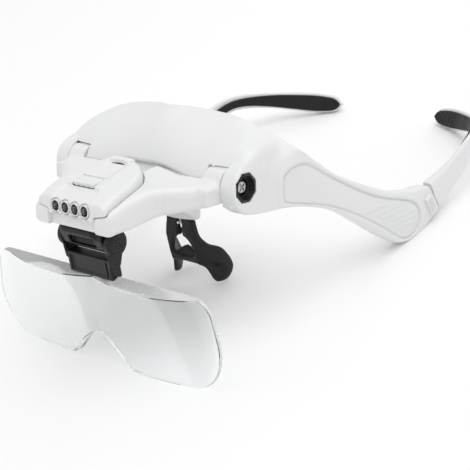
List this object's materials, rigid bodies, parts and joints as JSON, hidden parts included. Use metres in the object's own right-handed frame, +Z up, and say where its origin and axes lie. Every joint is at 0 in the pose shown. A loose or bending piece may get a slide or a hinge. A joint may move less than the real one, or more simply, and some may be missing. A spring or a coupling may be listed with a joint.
{
  "type": "headband magnifier",
  "caption": "Lighted headband magnifier: white hood and side arms with a tilting front frame, slide-off lamp, flip-up double lens and soft temple tips.",
  "frame": {"origin": "centre of the part's footprint on the table it rests on", "axes": "+X to the wearer's left, +Y to the back (along the arms), +Z up from the table"},
  "size_m": [0.1528, 0.217, 0.0797],
  "materials": {
    "white_abs": "glossy white moulded plastic",
    "black_abs": "satin black moulded plastic",
    "black_rubber": "soft matt black rubber",
    "clear_acrylic": "clear polished acrylic, plastic by weight",
    "led_epoxy": "clear epoxy domes",
    "board_green": "green board",
    "contact_brass": "bright sheet",
    "cell_steel": "plated steel can",
    "screw_steel": "plated steel"
  },
  "bodies": {
    "headband": {"headband": "white_abs", "pivot_bezel_left": "black_abs", "pivot_bezel_right": "black_abs", "pivot_screws": "screw_steel", "pivot_nuts": "screw_steel", "arm_panel_left": "white_abs", "arm_panel_right": "white_abs"},
    "front_frame": {"front_frame": "white_abs", "nose_pad": "black_rubber", "nose_pad_screw": "screw_steel", "hinge_block": "black_abs", "block_screws": "screw_steel", "pivot_washers": "black_abs"},
    "lens_carrier": {"lens_holder": "black_abs", "hinge_pin": "screw_steel"},
    "lens": {"lens": "clear_acrylic"},
    "lamp": {"lamp_upper_shell": "white_abs", "lamp_lower_shell": "white_abs", "switch_body": "black_abs", "lamp_leds": "led_epoxy", "led_sleeves": "black_rubber", "circuit_board": "board_green", "coin_cells": "cell_steel", "cell_contact_minus": "contact_brass", "cell_contact_plus": "contact_brass", "lamp_screws": "screw_steel"},
    "battery_cover": {"battery_cover": "white_abs"},
    "switch_button": {"switch_button": "white_abs"},
    "temple_tip_left": {"temple_tip_left": "white_abs", "tip_pad_left": "black_rubber"},
    "temple_tip_right": {"temple_tip_right": "white_abs", "tip_pad_right": "black_rubber"},
    "release_button_left": {"release_button_left": "white_abs"},
    "release_button_right": {"release_button_right": "white_abs"}
  },
  "joints": [
    {"name": "frame_tilt", "type": "hinge", "parent": "headband", "child": "front_frame", "pos_m": [0, -0.05376, 0.05944], "axis": [-1, 0, 0], "range_deg": [0, 30]},
    {"name": "lens_flip", "type": "hinge", "parent": "front_frame", "child": "lens_carrier", "pos_m": [0, -0.09253, 0.05131], "axis": [-1, 0, 0], "range_deg": [-8, 65]},
    {"name": "lens_slide", "type": "slide", "parent": "lens_carrier", "child": "lens", "axis": [0, -0.2028, -0.9792], "range_m": [0, 0.012]},
    {"name": "lamp_slide", "type": "slide", "parent": "front_frame", "child": "lamp", "axis": [0, -0.9993, 0.0384], "range_m": [0, 0.034]},
    {"name": "battery_cover_slide", "type": "slide", "parent": "lamp", "child": "battery_cover", "axis": [0, 0.9993, -0.0384], "range_m": [0, 0.01]},
    {"name": "switch_press", "type": "slide", "parent": "lamp", "child": "switch_button", "axis": [0, -0.0384, -0.9993], "range_m": [0, 0.0008], "stiffness_N_per_m": 800, "springref_m": -0.0003},
    {"name": "tip_slide_left", "type": "slide", "parent": "headband", "child": "temple_tip_left", "axis": [0, 0.9711, 0.2385], "range_m": [0, 0.016]},
    {"name": "tip_slide_right", "type": "slide", "parent": "headband", "child": "temple_tip_right", "axis": [0, 0.9711, 0.2385], "range_m": [0, 0.016]},
    {"name": "release_press_left", "type": "slide", "parent": "headband", "child": "release_button_left", "axis": [-1, 0, 0], "range_m": [0, 0.0007], "stiffness_N_per_m": 800, "springref_m": -0.0003},
    {"name": "release_press_right", "type": "slide", "parent": "headband", "child": "release_button_right", "axis": [1, 0, 0], "range_m": [0, 0.0007], "stiffness_N_per_m": 800, "springref_m": -0.0003}
  ]
}
